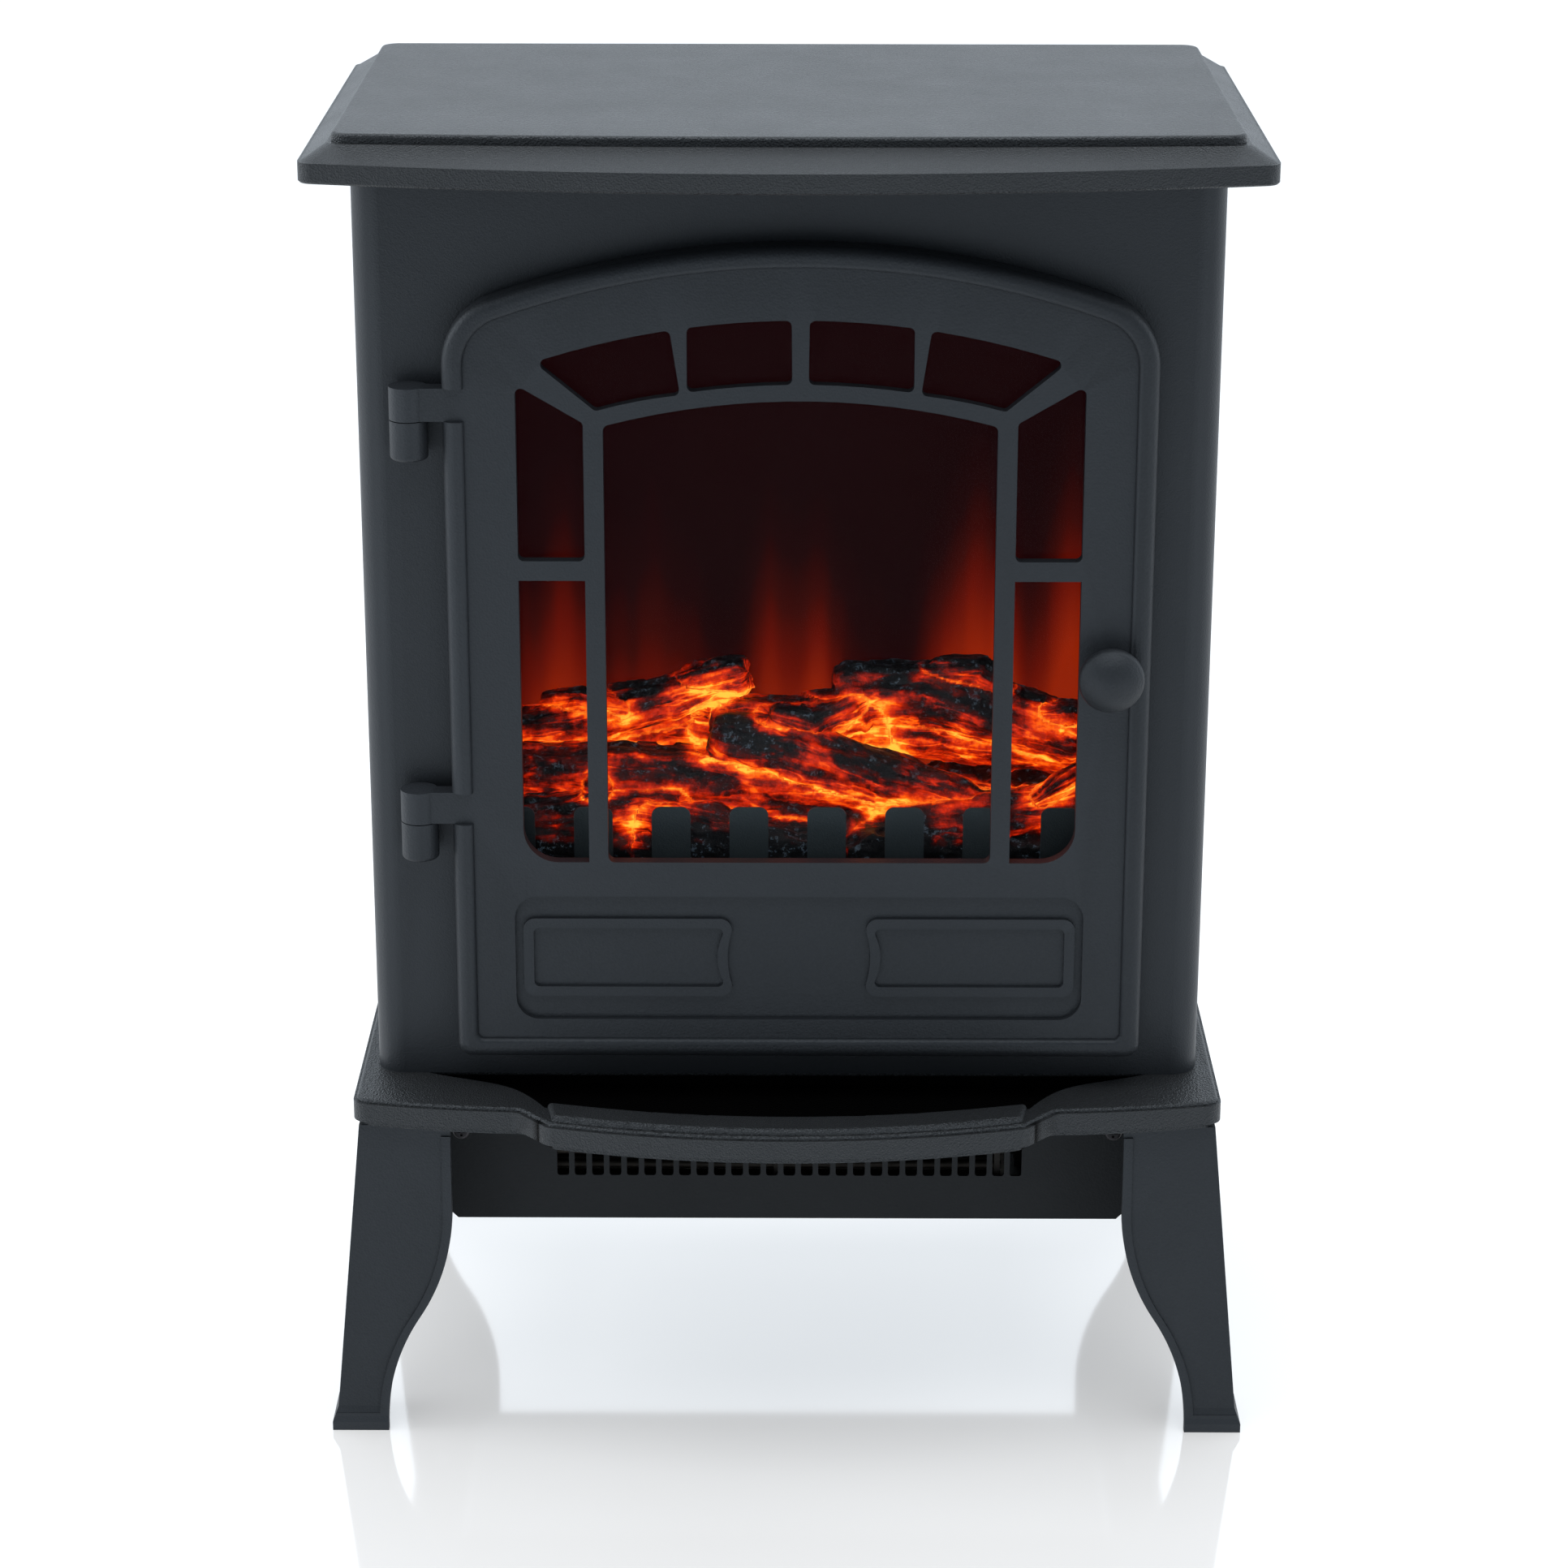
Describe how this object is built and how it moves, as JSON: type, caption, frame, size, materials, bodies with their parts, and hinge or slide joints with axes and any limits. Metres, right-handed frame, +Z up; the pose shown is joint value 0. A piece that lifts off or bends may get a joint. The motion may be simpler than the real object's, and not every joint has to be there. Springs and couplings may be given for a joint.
{
  "type": "electric fireplace",
  "caption": "Freestanding stove-style electric fireplace heater with an arched paned door, a glowing log bed, splayed legs and a fan heater under the base.",
  "frame": {"origin": "on the floor, at the centre of the whole heater's bounding box seen from above", "axes": "+X to the right seen from the front, +Y towards the wall behind, +Z up; the door faces -Y"},
  "size_m": [0.404, 0.2876, 0.576],
  "materials": {
    "moulded_black": "fine-grained moulded plastic, charcoal",
    "cast_black": "sand-textured charcoal paint on a casting",
    "painted_steel": "satin charcoal powder coat on sheet steel",
    "soot_black": "dead matt black inside the firebox",
    "tinted_glass": "clear tempered glass, glossy",
    "flame_screen": "dark red diffusing screen with a printed haze",
    "ember_logs": "translucent resin logs, glowing, charred on top",
    "fret_grey": "grey painted strip",
    "bright_steel": "plain plated steel",
    "bright_vane": "bright reflective foil",
    "zinc_screw": "zinc plated",
    "black_screw": "black screws",
    "motor_steel": "laminated and pressed steel",
    "copper_coil": "varnished copper winding",
    "mica": "pressed mica board",
    "element_wire": "resistance wire coils",
    "switch_black": "glossy black moulding",
    "grey_plastic": "grey technical plastic",
    "circuit_green": "green lacquered board",
    "lamp_amber": "amber lamp domes",
    "magnet": "ferrite magnet"
  },
  "bodies": {
    "root": {"top_cover": "moulded_black", "base_plate": "moulded_black", "front_panel": "painted_steel", "side_panel_left": "painted_steel", "side_panel_right": "painted_steel", "rear_panel": "painted_steel", "rear_screws": "zinc_screw", "leg_front_left": "cast_black", "leg_front_right": "cast_black", "leg_rear_left": "cast_black", "leg_rear_right": "cast_black", "leg_screws": "zinc_screw", "catch_plate": "bright_steel", "hinge_bracket_upper": "cast_black", "hinge_bracket_lower": "cast_black", "hinge_pins": "bright_steel", "control_panel": "moulded_black", "switch_bodies": "switch_black", "thermostat_body": "grey_plastic", "heater_housing": "painted_steel", "outlet_grille": "painted_steel", "grille_screws": "black_screw", "heater_spacers": "bright_steel", "heater_screws": "zinc_screw", "fan_scroll": "bright_steel", "fan_bush": "grey_plastic", "fan_motor": "motor_steel", "motor_coil": "copper_coil", "element_frame": "mica", "heating_coils": "element_wire", "thermal_cutout": "motor_steel", "firebox_liner": "soot_black", "light_box": "soot_black", "flame_screen": "flame_screen", "spindle_bush": "grey_plastic", "flame_motor": "motor_steel", "log_bed": "ember_logs", "log_rests": "grey_plastic", "ember_fret": "fret_grey", "led_boards": "circuit_green", "led_lamps": "lamp_amber", "terminal_block": "grey_plastic", "lamp_driver": "grey_plastic", "cord_gland": "switch_black"},
    "door": {"door_frame": "cast_black", "door_glass": "tinted_glass", "glass_clips": "bright_steel", "clip_screws": "zinc_screw", "door_knob": "cast_black", "knob_screw": "zinc_screw", "door_magnet": "magnet"},
    "rocker_flame_body": {"rocker_flame": "switch_black"},
    "rocker_low_body": {"rocker_low_heat": "switch_black"},
    "rocker_high_body": {"rocker_high_heat": "switch_black"},
    "thermostat": {"thermostat_knob": "switch_black", "thermostat_shaft": "bright_steel"},
    "fan_impeller": {"impeller_blades": "bright_steel", "impeller_shaft": "bright_steel"},
    "flame_spindle": {"spindle_rod": "bright_steel", "flame_vanes": "bright_vane"}
  },
  "joints": [
    {"name": "door_hinge", "type": "hinge", "parent": "root", "child": "door", "pos_m": [-0.158, -0.0836, 0.3], "axis": [0, 0, -1], "range_deg": [0, 110]},
    {"name": "flame_rocker", "type": "hinge", "parent": "root", "child": "rocker_flame_body", "pos_m": [-0.044, -0.0582, 0.196], "axis": [-1, 0, 0], "range_deg": [0, 16]},
    {"name": "low_heat_rocker", "type": "hinge", "parent": "root", "child": "rocker_low_body", "pos_m": [-0.016, -0.0582, 0.196], "axis": [-1, 0, 0], "range_deg": [0, 16]},
    {"name": "high_heat_rocker", "type": "hinge", "parent": "root", "child": "rocker_high_body", "pos_m": [0.012, -0.0582, 0.196], "axis": [-1, 0, 0], "range_deg": [0, 16]},
    {"name": "thermostat_turn", "type": "hinge", "parent": "root", "child": "thermostat", "pos_m": [0.056, -0.058, 0.196], "axis": [0, 1, 0], "range_deg": [0, 270]},
    {"name": "fan_spin", "type": "hinge", "parent": "root", "child": "fan_impeller", "pos_m": [0, -0.008, 0.111], "axis": [1, 0, 0], "continuous": true},
    {"name": "flame_spin", "type": "hinge", "parent": "root", "child": "flame_spindle", "pos_m": [0, 0.054, 0.262], "axis": [1, 0, 0], "continuous": true}
  ]
}
